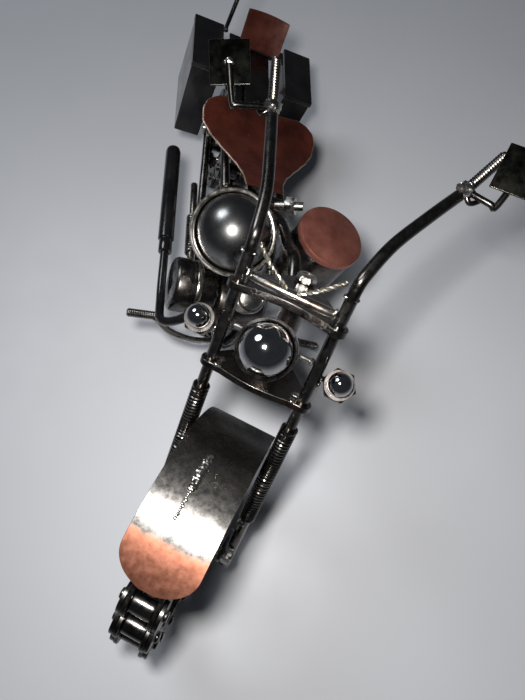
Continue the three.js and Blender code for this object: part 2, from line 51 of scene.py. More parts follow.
# ---- dimensions of the machine, millimetres and degrees, as in the CAD ----
TURN, RAKE, PITCH = 32.1, 33.3, 12.7
PLATE_H, PLATE_T, ROLLER_R = 12.0, 1.5, 4.0
LEG_X, LEG_R, LEG_E, STEM_E = 16.6, 1.95, -8.1, -29.9
FENDER_HALF, SHEET_T = 13.2, 1.0
BALL_R, DRUM_R, REAR_Y = 14.8, 13.2, 214.0
SIDES = (("left", 1), ("right", -1))


def pitch_radius(n):
    return PITCH / 2 / math.sin(math.pi / n)


FRONT_R = pitch_radius(18) + PLATE_H / 2
REAR_R = pitch_radius(12) + PLATE_H / 2
FENDER_R = FRONT_R + 2.9

# ---- the two drawing frames, found from the joints of the record ----
JOINTS = {j["name"]: j for j in frame["record"]["behaviour"]["joints"]}
EX = V(JOINTS["rear_wheel_spin"]["axis"]).normalized()
AW = V(JOINTS["steering_turn"]["axis"]).normalized()
MW = EX.cross(AW).normalized()
EY = AW * math.sin(rad(RAKE)) - MW * math.cos(rad(RAKE))
EZ = AW * math.cos(rad(RAKE)) + MW * math.sin(rad(RAKE))
TURNED = Matrix((EX, EY, EZ)).transposed().to_4x4()
HUB = V((0, REAR_Y, REAR_R))
REAR_AXLE_AT = V(JOINTS["rear_wheel_spin"]["pos_m"])
AT = REAR_AXLE_AT - TURNED.to_3x3() @ HUB * 0.001
REAR = Matrix.Translation(AT) @ TURNED @ Matrix.Scale(0.001, 4)
HEAD_POS = V(JOINTS["steering_turn"]["pos_m"])
STEER = (Matrix.Translation(HEAD_POS) @ Matrix.Rotation(-rad(TURN), 4, AW)
         @ Matrix.Translation(-HEAD_POS))
FRONT = STEER @ REAR

A = V((0, math.sin(rad(RAKE)), math.cos(rad(RAKE))))
M = V((0, -math.cos(rad(RAKE)), math.sin(rad(RAKE))))
WHEEL = V((0, 0, FRONT_R))


def fork(x, s, e=LEG_E):
    """A point x to the left, s up the fork from the axle and e ahead of it."""
    return WHEEL + A * s + M * e + V((x, 0, 0))


# ---- mesh makers: each returns (vertices, faces) in millimetres ----
def frame_of(d):
    d = d.normalized()
    side = V((1, 0, 0)) if abs(d.x) < 0.8 else V((0, 1, 0))
    u = d.cross(side).normalized()
    return u, d.cross(u)


def ring_faces(rings, seg):
    """Quads that join each ring of seg points to the next."""
    faces = []
    for i in range(rings - 1):
        for k in range(seg):
            k2 = (k + 1) % seg
            faces.append((i * seg + k, i * seg + k2, (i + 1) * seg + k2, (i + 1) * seg + k))
    return faces


def sweep(points, radius, seg=20):
    """A capped tube through the points; radius is a number or one per point."""
    n = len(points)
    dirs = [(points[min(i + 1, n - 1)] - points[max(i - 1, 0)]).normalized() for i in range(n)]
    u, _ = frame_of(dirs[0])
    verts = []
    for i, (p, d) in enumerate(zip(points, dirs)):
        u = (u - d * u.dot(d)).normalized()
        w = d.cross(u)
        r = radius[i] if isinstance(radius, (list, tuple)) else radius
        for k in range(seg):
            t = 2 * math.pi * k / seg
            verts.append(p + (u * math.cos(t) + w * math.sin(t)) * r)
    faces = ring_faces(n, seg)
    faces.append(tuple(reversed(range(seg))))
    faces.append(tuple((n - 1) * seg + k for k in range(seg)))
    return verts, faces


def smooth_path(points, steps=8):
    pts = [points[0]] + list(points) + [points[-1]]
    out = []
    for i in range(1, len(pts) - 2):
        p0, p1, p2, p3 = pts[i - 1:i + 3]
        for k in range(steps):
            t = k / steps
            out.append(0.5 * ((2 * p1) + (p2 - p0) * t + (2 * p0 - 5 * p1 + 4 * p2 - p3) * t * t
                              + (3 * p1 - p0 - 3 * p2 + p3) * t ** 3))
    out.append(points[-1].copy())
    return out


def rod(p, q, r, seg=20, edge=0.25):
    """A cylinder with a small rounded edge."""
    d = (q - p).normalized()
    e = min(edge, r * 0.4, (q - p).length * 0.3)
    return sweep([p, p + d * e * 0.3, p + d * e, q - d * e, q - d * e * 0.3, q],
                 [r - e, r - e * 0.3, r, r, r - e * 0.3, r - e], seg)


def lathe(profile, origin, axis, seg=40):
    """A turned shape; the profile is (radius, distance along the axis) pairs."""
    u, w = frame_of(axis)
    d = axis.normalized()
    verts = []
    for r, y in profile:
        for k in range(seg):
            t = 2 * math.pi * k / seg
            verts.append(origin + d * y + (u * math.cos(t) + w * math.sin(t)) * max(r, 0.001))
    return verts, ring_faces(len(profile), seg)


def ball(c, r, seg=36, rings=20, squash=None):
    """A ball; squash is (axis, factor along it)."""
    prof = [(r * math.sin(math.pi * i / rings), -r * math.cos(math.pi * i / rings))
            for i in range(rings + 1)]
    axis = squash[0] if squash else V((0, 0, 1))
    if squash:
        prof = [(a, b * squash[1]) for a, b in prof]
    return lathe(prof, c, axis, seg)


def helix(p, q, r, wire, turns, seg=8, per=20):
    d = (q - p)
    u, w = frame_of(d)
    n = int(turns * per)
    pts = [p + d * (i / n) + (u * math.cos(2 * math.pi * i / per) + w * math.sin(2 * math.pi * i / per)) * r
           for i in range(n + 1)]
    return sweep(pts, wire, seg)


def thread(p, q, r, pitch=0.8, depth=0.32, seg=24):
    """A threaded rod: one helical ridge on a round core, with a chamfered tip."""
    d = (q - p).normalized()
    length = (q - p).length
    u, w = frame_of(d)
    rows = int(length / pitch * 6)
    verts = []
    for i in range(rows + 1):
        y = length * i / rows
        ends = min(1.0, min(y, length - y) / 0.7)
        for k in range(seg):
            t = 2 * math.pi * k / seg
            ridge = abs(((y / pitch + k / seg) % 1.0) * 2 - 1)
            rr = (r - depth * ridge) * (0.78 + 0.22 * ends)
            verts.append(p + d * y + (u * math.cos(t) + w * math.sin(t)) * rr)
    faces = ring_faces(rows + 1, seg)
    faces.append(tuple(reversed(range(seg))))
    faces.append(tuple(rows * seg + k for k in range(seg)))
    return verts, faces


def slab(at, out, t, nu, nv):
    """A sheet of thickness t: at(u, v) is its face and out(u, v) the way it thickens."""
    verts, faces = [], []
    for k in range(2):
        for i in range(nu + 1):
            for j in range(nv + 1):
                verts.append(at(i / nu, j / nv) + out(i / nu, j / nv) * (k * t))

    def vid(k, i, j):
        return (k * (nu + 1) + i) * (nv + 1) + j
    for i in range(nu):
        for j in range(nv):
            faces.append((vid(0, i, j), vid(0, i, j + 1), vid(0, i + 1, j + 1), vid(0, i + 1, j)))
            faces.append((vid(1, i, j), vid(1, i + 1, j), vid(1, i + 1, j + 1), vid(1, i, j + 1)))
        faces.append((vid(0, i, 0), vid(0, i + 1, 0), vid(1, i + 1, 0), vid(1, i, 0)))
        faces.append((vid(0, i, nv), vid(1, i, nv), vid(1, i + 1, nv), vid(0, i + 1, nv)))
    for j in range(nv):
        faces.append((vid(0, 0, j), vid(1, 0, j), vid(1, 0, j + 1), vid(0, 0, j + 1)))
        faces.append((vid(0, nu, j), vid(0, nu, j + 1), vid(1, nu, j + 1), vid(1, nu, j)))
    return verts, faces


def prism(outline, origin, x, y, z, depth):
    """An outline in the x, y plane at origin, pushed out by depth along z."""
    n = len(outline)
    verts = [origin + x * a + y * b + z * c for c in (0, depth) for a, b in outline]
    faces = [tuple(reversed(range(n))), tuple(range(n, 2 * n))]
    faces += [(k, (k + 1) % n, n + (k + 1) % n, n + k) for k in range(n)]
    return verts, faces


def cuboid(c, x, y, z, sx, sy, sz):
    return prism([(-sx / 2, -sy / 2), (sx / 2, -sy / 2), (sx / 2, sy / 2), (-sx / 2, sy / 2)],
                 c - z * (sz / 2), x, y, z, sz)


def lump(c, r, axis, flat=0.6):
    """One weld lump: a flattened, slightly uneven ball."""
    verts, faces = ball(c, r, 18, 10, (axis, flat))
    ph = [random.uniform(0, 6.28) for _ in range(3)]
    out = []
    for v in verts:
        d = v - c
        k = (1 + 0.10 * math.sin(3.1 * d.x + ph[0]) + 0.08 * math.sin(4.3 * d.y + ph[1])
             + 0.06 * math.sin(5 * d.z + ph[2]))
        out.append(c + d * k)
    return out, faces


def weld_run(points, r, up, flat=0.55):
    parts = []
    for p in points:
        jitter = V([random.uniform(-0.12, 0.12) for _ in range(3)])
        parts.append(lump(p + jitter, r * random.uniform(0.85, 1.15), up, flat))
    return parts


# ---- materials ----
def nodes_of(name):
    m = bpy.data.materials.new(name)
    m.use_nodes = True
    nt = m.node_tree
    return m, nt, nt.nodes["Principled BSDF"]


def noise(nt, coord, scale, detail=4.0, rough=0.55, stretch=None):
    n = nt.nodes.new("ShaderNodeTexNoise")
    n.inputs["Scale"].default_value = scale
    n.inputs["Detail"].default_value = detail
    n.inputs["Roughness"].default_value = rough
    if stretch:
        mp = nt.nodes.new("ShaderNodeMapping")
        mp.inputs["Scale"].default_value = stretch
        nt.links.new(coord, mp.inputs["Vector"])
        coord = mp.outputs["Vector"]
    nt.links.new(coord, n.inputs["Vector"])
    return n.outputs["Fac"]


def ramp(nt, fac, stops):
    r = nt.nodes.new("ShaderNodeValToRGB")
    e = r.color_ramp.elements
    while len(e) < len(stops):
        e.new(0.5)
    for k, (pos, col) in enumerate(stops):
        e[k].position = pos
        e[k].color = (*col, 1) if len(col) == 3 else col
    nt.links.new(fac, r.inputs["Fac"])
    return r.outputs["Color"]


def grey(a, b, lo=0.3, hi=0.7):
    return [(lo, (a, a, a)), (hi, (b, b, b))]


def mix(nt, fac, a, b):
    m = nt.nodes.new("ShaderNodeMix")
    m.data_type = "RGBA"
    nt.links.new(fac, m.inputs["Factor"])
    for key, val in (("A", a), ("B", b)):
        sock = [s for s in m.inputs if s.name == key and s.type == "RGBA"][0]
        if isinstance(val, tuple):
            sock.default_value = (*val, 1)
        else:
            nt.links.new(val, sock)
    return [s for s in m.outputs if s.type == "RGBA"][0]


def bump(nt, bsdf, heights):
    """heights: list of (socket, distance in metres, strength)."""
    last = None
    for sock, dist, strength in heights:
        b = nt.nodes.new("ShaderNodeBump")
        b.inputs["Distance"].default_value = dist
        b.inputs["Strength"].default_value = strength
        nt.links.new(sock, b.inputs["Height"])
        if last:
            nt.links.new(last, b.inputs["Normal"])
        last = b.outputs["Normal"]
    nt.links.new(last, bsdf.inputs["Normal"])


def metal(name, dark, light, tint, rough=(0.18, 0.36), grain=2600.0, edge_wear_and_highlight=0.35,
          edge=(0.6, 0.58, 0.55), dent=0.00004):
    """Bare metal: three blended tones, darker spots, fine dents, and bright edges and ridges that are a
    painted highlight standing in part for real edge wear.
    """
    m, nt, b = nodes_of(name)
    co = nt.nodes.new("ShaderNodeTexCoord").outputs["Object"]
    broad = noise(nt, co, 95.0, 5.0)
    fine = noise(nt, co, grain, 3.0)
    cloud = noise(nt, co, 320.0, 6.0, 0.65)
    base = ramp(nt, broad, [(0.32, dark), (0.56, light), (0.74, tint)])
    spots = ramp(nt, cloud, grey(0.0, 1.0, 0.5, 0.72))
    base = mix(nt, spots, base, tuple(c * 0.62 for c in light))
    # Painted highlight with some real edge wear: convex edges and ridges, found by pointiness, are lightened
    # towards the edge colour.
    geo = nt.nodes.new("ShaderNodeNewGeometry").outputs["Pointiness"]
    rim = ramp(nt, geo, grey(0.0, edge_wear_and_highlight, 0.56, 0.68))
    base = mix(nt, rim, base, edge)
    nt.links.new(base, b.inputs["Base Color"])
    b.inputs["Metallic"].default_value = 1.0
    nt.links.new(ramp(nt, cloud, grey(rough[0], rough[1], 0.35, 0.68)), b.inputs["Roughness"])
    bump(nt, b, [(cloud, dent, 0.35), (fine, 0.000012, 0.3)])
    return m


def streaked(name, dark, light, rough, metallic, direction, coat=0.0, edge=(0.5, 0.3, 0.22)):
    """A brushed or rolled sheet with fine parallel lines, blotches and worn patches."""
    m, nt, b = nodes_of(name)
    co = nt.nodes.new("ShaderNodeTexCoord").outputs["Object"]
    lines = noise(nt, co, 900.0, 3.0, 0.6, direction)
    broad = noise(nt, co, 120.0, 5.0, 0.6)
    speck = noise(nt, co, 1500.0, 2.0)
    base = mix(nt, ramp(nt, broad, grey(0.0, 1.0, 0.34, 0.68)), dark, light)
    base = mix(nt, ramp(nt, speck, grey(0.0, 0.5, 0.66, 0.74)), base, tuple(c * 0.4 for c in dark))
    worn = noise(nt, co, 260.0, 8.0, 0.7)
    base = mix(nt, ramp(nt, worn, grey(0.0, 0.35, 0.66, 0.78)), base, edge)
    nt.links.new(base, b.inputs["Base Color"])
    b.inputs["Metallic"].default_value = metallic
    nt.links.new(ramp(nt, broad, grey(rough[0], rough[1])), b.inputs["Roughness"])
    b.inputs["Coat Weight"].default_value = coat
    b.inputs["Coat Roughness"].default_value = 0.1
    bump(nt, b, [(lines, 0.00002, 0.3), (broad, 0.00012, 0.25)])
    return m


STEEL = metal("burnished_steel", (0.055, 0.05, 0.048), (0.12, 0.112, 0.105), (0.17, 0.115, 0.085))
BRIGHT = metal("bare_steel", (0.30, 0.285, 0.265), (0.50, 0.48, 0.45), (0.40, 0.33, 0.27), (0.2, 0.42))
# The bright thread ridges against darker valleys are the painted edge highlight of metal().
THREADS = metal("thread_steel", (0.07, 0.065, 0.06), (0.17, 0.16, 0.145), (0.15, 0.11, 0.08), (0.22, 0.38),
                edge_wear_and_highlight=0.45, edge=(0.62, 0.6, 0.56))
COILS = metal("dark_coil", (0.05, 0.046, 0.043), (0.12, 0.112, 0.104), (0.13, 0.10, 0.075), (0.16, 0.3),
              edge_wear_and_highlight=0.15)
NUTS = metal("hex_nut_steel", (0.05, 0.046, 0.042), (0.11, 0.10, 0.092), (0.16, 0.12, 0.085), (0.2, 0.38),
             edge_wear_and_highlight=0.0)
WELD = metal("weld_metal", (0.24, 0.22, 0.20), (0.52, 0.50, 0.47), (0.38, 0.26, 0.16), (0.15, 0.34),
             dent=0.00016)
BALLS = metal("bearing_ball", (0.36, 0.36, 0.37), (0.44, 0.44, 0.45), (0.40, 0.39, 0.38), (0.05, 0.10),
              grain=3600.0, edge_wear_and_highlight=0.0, dent=0.000004)
SATIN = metal("satin_ball", (0.15, 0.15, 0.155), (0.20, 0.20, 0.20), (0.17, 0.165, 0.16), (0.25, 0.31),
              grain=3600.0, edge_wear_and_highlight=0.0, dent=0.000006)
PLATE = metal("dark_mirror_plate", (0.012, 0.012, 0.011), (0.022, 0.022, 0.019), (0.03, 0.028, 0.02),
              (0.12, 0.24), edge_wear_and_highlight=0.0, edge=(0.5, 0.48, 0.42))
RINGS = metal("ring_steel", (0.36, 0.33, 0.30), (0.62, 0.58, 0.53), (0.52, 0.36, 0.26), (0.14, 0.3))
WIRE = metal("twisted_wire", (0.30, 0.27, 0.22), (0.58, 0.54, 0.46), (0.42, 0.33, 0.22), (0.25, 0.45),
             edge_wear_and_highlight=0.6, edge=(0.85, 0.82, 0.74))
CHAINS = metal("chain_steel", (0.035, 0.033, 0.032), (0.085, 0.08, 0.075), (0.11, 0.075, 0.05), (0.2, 0.42),
               edge_wear_and_highlight=0.55, edge=(0.42, 0.4, 0.38))
COPPER = streaked("copper_coat", (0.20, 0.068, 0.05), (0.32, 0.12, 0.088), (0.3, 0.46), 0.7, (1, 12, 1),
                  edge=(0.9, 0.6, 0.46))
LACQUER = streaked("red_brown_lacquer", (0.045, 0.009, 0.005), (0.085, 0.019, 0.010), (0.2, 0.36), 0.3,
                   (14, 1, 1), coat=0.35, edge=(0.45, 0.27, 0.2))
RIM = streaked("cut_sheet_edge", (0.30, 0.20, 0.15), (0.55, 0.42, 0.34), (0.25, 0.4), 0.9, (6, 1, 1),
               edge=(0.8, 0.7, 0.6))
BLACK = streaked("gloss_black", (0.004, 0.004, 0.005), (0.010, 0.009, 0.009), (0.12, 0.28), 0.2, (1, 8, 1),
                 coat=0.3, edge=(0.12, 0.09, 0.08))


def fender_material():
    """Polished steel with a copper coat at the tip; u runs from the tip to the back."""
    m, nt, b = nodes_of("fender_steel_and_copper")
    co = nt.nodes.new("ShaderNodeTexCoord").outputs["Object"]
    uv = nt.nodes.new("ShaderNodeUVMap")
    uv.uv_map = "UVMap"
    sep = nt.nodes.new("ShaderNodeSeparateXYZ")
    nt.links.new(uv.outputs["UV"], sep.inputs["Vector"])
    wob = noise(nt, co, 160.0, 4.0)
    add = nt.nodes.new("ShaderNodeMath")
    add.operation = "MULTIPLY_ADD"
    nt.links.new(wob, add.inputs[0])
    add.inputs[1].default_value = 0.06
    nt.links.new(sep.outputs["X"], add.inputs[2])
    fade = ramp(nt, add.outputs[0], grey(1.0, 0.0, 0.208, 0.224))
    broad = noise(nt, co, 70.0, 5.0)
    cloud = noise(nt, co, 420.0, 6.0, 0.65)
    lines = noise(nt, co, 1100.0, 3.0, 0.6, (1, 14, 14))
    steel = ramp(nt, broad, [(0.3, (0.09, 0.085, 0.08)), (0.55, (0.20, 0.19, 0.18)),
                             (0.75, (0.16, 0.125, 0.10))])
    # Painted shade: the steel is darkened to near black towards the back of the fender, from u 0.4 to 0.6.
    steel = mix(nt, ramp(nt, sep.outputs["X"], grey(0.0, 0.88, 0.40, 0.60)), steel, (0.05, 0.045, 0.043))
    copper = ramp(nt, cloud, [(0.3, (0.34, 0.125, 0.075)), (0.7, (0.48, 0.20, 0.13))])
    nt.links.new(mix(nt, fade, steel, copper), b.inputs["Base Color"])
    b.inputs["Metallic"].default_value = 0.95
    nt.links.new(mix(nt, fade, ramp(nt, cloud, grey(0.19, 0.36)), ramp(nt, cloud, grey(0.40, 0.52))),
                 b.inputs["Roughness"])
    bump(nt, b, [(lines, 0.00002, 0.35), (cloud, 0.00003, 0.3), (broad, 0.0004, 0.12)])
    return m


FENDER = fender_material()


# ---- putting pieces in place ----
def piece(name, parts, place, body, material, replaces=(), slot=None, sharp=38, bevel=0.0, uv=None):
    verts, faces = [], []
    for v, f in parts:
        n = len(verts)
        verts += v
        faces += [tuple(n + k for k in face) for face in f]
    me = bpy.data.meshes.new(name)
    me.from_pydata([place @ v for v in verts], [], faces)
    me.validate()
    if uv:
        layer = me.uv_layers.new(name="UVMap")
        for loop in me.loops:
            layer.data[loop.index].uv = uv[loop.vertex_index]
    me.materials.append(material)
    for p in me.polygons:
        p.use_smooth = True
    me.set_sharp_from_angle(angle=rad(sharp))
    me.update()
    ob = bpy.data.objects.new(name, me)
    bpy.context.scene.collection.objects.link(ob)
    if bevel:
        mod = ob.modifiers.new("edge", "BEVEL")
        mod.width = bevel / 1000
        mod.segments = 2
        mod.limit_method = "ANGLE"
        mod.angle_limit = rad(40)
        mod.harden_normals = True
    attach(ob, body)
    for node in replaces:
        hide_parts(node)
    return ob


def front(name, parts, material, replaces=(), slot=None, **kw):
    return piece(name, parts, FRONT, "steering", material, replaces, slot, **kw)


def rear(name, parts, material, replaces=(), slot=None, **kw):
    return piece(name, parts, REAR, "frame", material, replaces, slot, **kw)


X, Y, Z = V((1, 0, 0)), V((0, 1, 0)), V((0, 0, 1))


# ---- roller chain wheels ----
def plate_outline(h):
    half, waist, pts = PITCH / 2, h * 0.70, []
    for a in range(56, 305, 12):
        pts.append((-half + h * math.cos(rad(a)), h * math.sin(rad(a))))
    pts.append((0, -waist))
    for a in range(236, 485, 12):
        pts.append((half + h * math.cos(rad(a)), h * math.sin(rad(a))))
    pts.append((0, waist))
    return pts


def chain_wheel(tag, c, n, place, body, node, hub_node, spokes):
    r = pitch_radius(n)
    plates, rollers = [], []
    for k in range(n):
        a = 2 * math.pi * k / n
        p = c + V((0, r * math.cos(a), r * math.sin(a)))
        rollers.append(lathe([(0, -3.95), (3.4, -3.95), (3.9, -3.7), (3.98, -3.2), (3.98, 3.2), (3.9, 3.7),
                              (3.4, 3.95), (0, 3.95)], p, X, 28))
        for d in (-1, 1):
            plates.append(lathe([(1.9, 3.9), (1.9, 8.0), (1.6, 8.35), (0.9, 8.5), (0, 8.5)], p, X * d, 18))
            plates.append(lathe([(2.7, 7.05), (2.7, 7.32), (1.9, 7.4)], p, X * d, 18))
        mid = 2 * math.pi * (k + 0.5) / n
        along = V((0, -math.sin(mid), math.cos(mid)))
        out = V((0, math.cos(mid), math.sin(mid)))
        # every other link has its plates inside, the rest outside
        x0, h = (4.05, 5.95) if k % 2 == 0 else (5.65, 5.65)
        at = c + out * (r * math.cos(math.pi / n))
        for d in (-1, 1):
            plates.append(prism(plate_outline(h), at + X * (d * x0), along * d, out, X * d, PLATE_T))
    piece(f"{tag}_link_plates", plates, place, body, CHAINS, (node,), "steel", bevel=0.28, sharp=30)
    piece(f"{tag}_rollers", rollers, place, body, CHAIN_ROLLERS, (), "steel")
    reach = r - ROLLER_R
    hub = [lathe([(2.0, -7.5), (5.6, -7.5), (6.3, -7.1), (6.5, -6.4), (6.5, -3.4), (5.2, -2.8), (5.2, 2.8),
                  (6.5, 3.4), (6.5, 6.4), (6.3, 7.1), (5.6, 7.5), (2.0, 7.5)], c, X, 36)]
    joints = []
    for k in range(spokes):
        a = 2 * math.pi * k / spokes
        d = V((0, math.cos(a), math.sin(a)))
        hub.append(sweep([c + d * 4.8, c + d * (reach - 0.2)], 1.55, 16))
        joints += weld_run([c + d * (reach - 0.9) + X * x for x in (-1.2, 1.2)], 1.25, d)
        joints.append(lump(c + d * 5.6, 2.1, d, 0.5))
    piece(f"{tag}_hub", hub, place, body, BRIGHT, (hub_node,), "bright")
    piece(f"{tag}_spoke_welds", joints, place, body, WELD, (), "bright")


CHAIN_ROLLERS = metal("roller_steel", (0.06, 0.057, 0.055), (0.16, 0.15, 0.145), (0.2, 0.15, 0.1),
                      (0.12, 0.28), edge_wear_and_highlight=0.4)
chain_wheel("front_wheel", WHEEL, 18, FRONT, "front_wheel", "front_wheel_chain", "front_wheel_hub", 6)
chain_wheel("rear_wheel", HUB, 12, REAR, "rear_wheel", "rear_wheel_chain", "rear_wheel_hub", 4)

# ---- fork ----
for side, d in SIDES:
    x = d * LEG_X
    front(f"leg_{side}", [sweep([fork(x, -14 - LEG_R * math.cos(rad(t))) for t in (0, 30, 60)]
                                + [fork(x, -14), fork(x, 107.6)],
                                [0.15, LEG_R * 0.5, LEG_R * 0.87, LEG_R, LEG_R], 24)],
          STEEL, (f"fork_leg_{side}",), "steel")
    coil = helix(fork(x, 13.6), fork(x, 57.4), 2.5, 0.54, 34)
    sleeve = lathe([(2.05, 13.2), (2.3, 13.2), (2.3, 57.8), (2.05, 57.8)], fork(x, 0), A, 24)
    caps = [lathe([(2.0, 0), (2.9, 0), (3.02, 0.3), (3.02, 1.0), (2.9, 1.3), (2.0, 1.3)], fork(x, s), A, 28)
            for s in (13.0, 56.7)]
    front(f"fork_coil_{side}", [coil] + caps, COILS, (f"fork_spring_{side}",), "bright")
    front(f"fork_sleeve_{side}", [sleeve], STEEL, (), "steel")
    plate = [(4.2 * math.cos(rad(t)), 4.2 * math.sin(rad(t))) for t in range(-90, 91, 15)]
    plate += [(3.2 * math.cos(rad(t)) - 8.1, 3.2 * math.sin(rad(t))) for t in range(90, 271, 15)]
    at = fork(d * 13.05, 0, 0)
    front(f"dropout_{side}", [prism(plate, at, M, A, X * d, 1.25)], STEEL, (f"fork_dropout_{side}",), "steel",
          bevel=0.2)
    front(f"leg_welds_{side}", weld_run([fork(x - d * 0.9, s, LEG_E + 1.3) for s in (10.4, 11.6)], 1.5, M)
          + weld_run([fork(x - d * 1.2, s, LEG_E) for s in (0.5, -1.4)], 1.3, X)
          + weld_run([fork(x + d * o, 108.2, LEG_E) for o in (-1.1, 0.4, 1.2)], 1.5, A), WELD, (), "bright")


def nut(c, axis, r, h, bore, turn=0.0):
    """A chamfered hex nut, open through the middle, from c along the axis."""
    u, w = frame_of(axis)
    d = axis.normalized()
    rings = [(bore, 0.0, 0), (r * 0.87, 0.0, 0), (r, 0.5, 1), (r, h - 0.5, 1), (r * 0.87, h, 0), (bore, h, 0),
             (bore, 0.0, 0)]
    seg, verts = 36, []
    for ring_r, y, six_sided in rings:
        for k in range(seg):
            t = 360.0 * k / seg
            q = r * 0.866 / math.cos(rad(((t + 30) % 60) - 30)) if six_sided else ring_r
            a = rad(t + turn)
            verts.append(c + d * y + (u * math.cos(a) + w * math.sin(a)) * q)
    return verts, ring_faces(len(rings), seg)


axle = [rod(fork(-18.4, 0, 0), fork(18.4, 0, 0), 1.6, 24)]
axle += [nut(fork(d * 14.6, 0, 0), X * d, 3.6, 3.0, 1.6) for _, d in SIDES]
front("front_axle_bolt", axle, BRIGHT, ("front_axle",), "bright", sharp=25)


# ---- front fender ----
FROM, TO, TIP = 57.0, 159.0, 13.0


def arc_at(deg, r, x, c=WHEEL):
    return c + V((x, -r * math.cos(rad(deg)), r * math.sin(rad(deg))))


def fender_half(u):
    past = (TO - FROM) * u / TIP
    if past >= 1:
        return FENDER_HALF
    return FENDER_HALF * max(0.2, math.sqrt(1 - (1 - past) ** 2))


NU, NV = 90, 14
CROWD = 1.15  # above 1, the rows crowd towards the rounded tip


def fender_deg(u):
    return FROM + (TO - FROM) * u ** CROWD


fender = slab(lambda u, v: arc_at(fender_deg(u), FENDER_R, (2 * v - 1) * fender_half(u ** CROWD)),
              lambda u, v: arc_at(fender_deg(u), 1, 0) - WHEEL, SHEET_T, NU, NV)
fender_uv = [((i / NU) ** CROWD, j / NV) for _ in range(2) for i in range(NU + 1) for j in range(NV + 1)]
front("fender", [fender], FENDER, ("front_fender",), "steel", bevel=0.2, uv=fender_uv)
bead = []
for k in range(15):
    deg = 97 + 15 * k / 14
    r = FENDER_R + SHEET_T + 0.35
    bead.append(lump(arc_at(deg, r, -2.2 + random.uniform(-0.15, 0.15)), random.uniform(1.2, 1.55),
                     arc_at(deg, 1, 0) - WHEEL, 0.5))
for k in range(16):
    deg = 84 + 12.5 * k / 15
    bead.append(lump(arc_at(deg, FENDER_R + SHEET_T + 0.1, -2.0 + random.uniform(-0.3, 0.3)),
                     random.uniform(0.35, 0.65), arc_at(deg, 1, 0) - WHEEL, 0.6))
front("fender_weld", bead, WELD, ("fender_weld_bead",), "bright")

# ---- yokes, stem and cross members ----
def yoke_outline(bulge):
    pts = [(4.6 * math.cos(rad(t)), STEM_E + 4.6 * math.sin(rad(t))) for t in range(200, 341, 20)]
    pts += [(LEG_X + 3.3 * math.cos(rad(t)), LEG_E + 3.3 * math.sin(rad(t))) for t in range(-30, 111, 20)]
    for k in range(1, 12):
        x = LEG_X * (1 - k / 6)
        pts.append((x * 0.86, LEG_E + 2.6 + bulge * math.cos(math.pi / 2 * x / LEG_X)))
    pts += [(-LEG_X + 3.3 * math.cos(rad(t)), LEG_E + 3.3 * math.sin(rad(t))) for t in range(70, 211, 20)]
    return pts


for name, at, thick, bulge in (("yoke_lower", 68, 2.4, 2.2), ("yoke_upper", 97.3, 2.7, -3.2)):
    front(f"{name}_plate", [prism(yoke_outline(bulge), WHEEL + A * (at - thick / 2), X, M, A, thick)],
          STEEL, (name,), "steel", bevel=0.3)
front("stem", [rod(fork(0, 63, STEM_E), fork(0, 101, STEM_E), 2.2, 24),
               nut(fork(0, 98.9, STEM_E), A, 3.6, 2.2, 2.1)], BRIGHT, ("steering_stem",), "bright", sharp=25)
front("cross_tube", [rod(fork(-14.35, 101.3), fork(14.35, 101.3), 1.6, 24)], RINGS,
      ("fork_cross_tube",), "bright")
front("cross_rod", [rod(fork(-14.35, 84), fork(14.35, 84), 0.95, 16)], BRIGHT, ("fork_cross_rod",), "steel")
yoke_welds = []
for _, d in SIDES:
    yoke_welds += weld_run([fork(d * 14.2, 101.3 + o, LEG_E + 0.6) for o in (-1.2, 1.2)], 1.5, X)
    yoke_welds += weld_run([fork(d * 13.6, 69.2, LEG_E + o) for o in (-1.5, 0.6, 2.2)], 1.4, A)
    yoke_welds += weld_run([fork(d * 13.9, 84, LEG_E + 0.5)], 1.3, X)
    yoke_welds += weld_run([fork(d * (LEG_X + 2.2), 78.5 + o, LEG_E - 0.6) for o in (-1, 1.2)], 1.3, X)
front("yoke_welds", yoke_welds, WELD, (), "bright")

# ---- headlight and indicators ----
LAMP = fork(0.4, 86.8, 2.6)
LAMP_AXIS = (M * 0.93 + A * 0.37).normalized()
LAMP_R = 8.2
front("lamp_ball", [ball(LAMP, LAMP_R, 64, 40)], BALLS, ("headlight_ball",), "ball_steel")
front("lamp_cup", [lathe([(0, -9.6), (3.0, -9.6), (3.2, -9.4), (3.2, -8.7), (6.3, -8.3), (6.9, -7.8),
                          (7.2, -6.4), (7.5, -6.0), (8.7, -5.5), (9.1, -5.0), (9.45, -3.6), (9.5, -3.0),
                          (9.5, 0.0), (9.3, 0.45), (8.9, 0.6), (8.45, 0.3), (8.35, -2.5), (6.5, -5.6),
                          (3.0, -7.9), (0, -8.3)],
                         LAMP, LAMP_AXIS, 64)], STEEL, ("headlight_cup",), "steel")
for side, d in SIDES:
    c = fork(d * 24.7, 81, LEG_E + 0.4)
    axis = (M * 0.8 + A * 0.6).normalized()
    front(f"indicator_hex_{side}", [nut(c - axis * 4.6, axis, 5.6, 4.6, 3.4),
                                    lathe([(0, 0.9), (3.4, 0.9), (3.4, 1.3)], c - axis * 4.6, axis, 24)],
          NUTS, (f"indicator_nut_{side}",), "steel", sharp=25)
    front(f"indicator_bead_{side}", [ball(c + axis * 2.35, 3.9, 40, 24)], BALLS, (f"indicator_ball_{side}",),
          "ball_steel")

